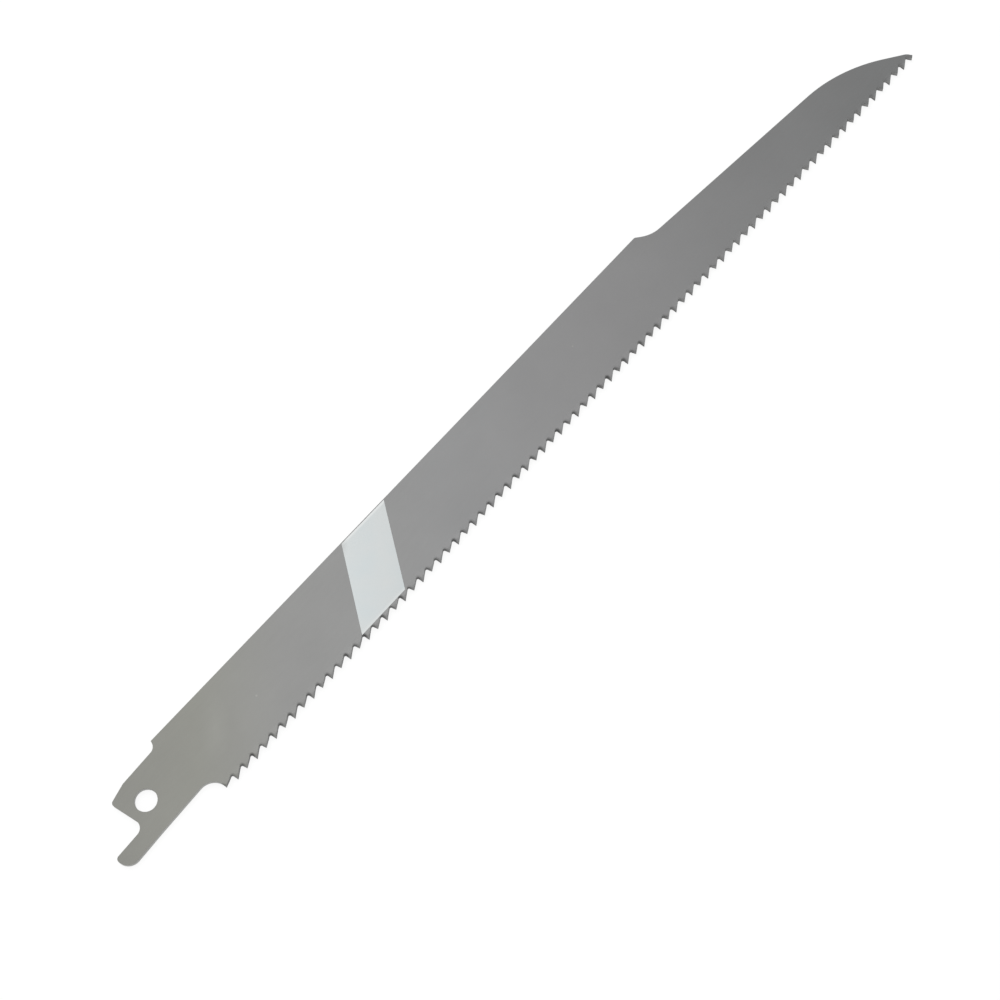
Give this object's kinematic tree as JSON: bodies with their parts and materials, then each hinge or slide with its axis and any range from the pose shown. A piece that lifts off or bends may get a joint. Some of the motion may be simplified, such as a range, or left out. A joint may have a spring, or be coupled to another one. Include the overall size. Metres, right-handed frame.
{
  "type": "reciprocating saw blade",
  "caption": "Flat steel saw blade for wood with a hooked tang, a hole for the saw's pin, a stepped spine, a curved nose and fine set teeth; a slanted white band crosses it.",
  "frame": {"origin": "centre of the tang's hole, at half the strip's thickness", "axes": "+X along the blade from the tang to the nose, +Y from the teeth to the spine, +Z out of the printed face"},
  "size_m": [0.2281, 0.0171, 0.0016],
  "materials": {
    "blade_steel": "satin, fine ground",
    "band_ink": "semi-matt printed ink"
  },
  "bodies": {
    "root": {"blade": "blade_steel", "print_band": "band_ink"}
  },
  "joints": []
}
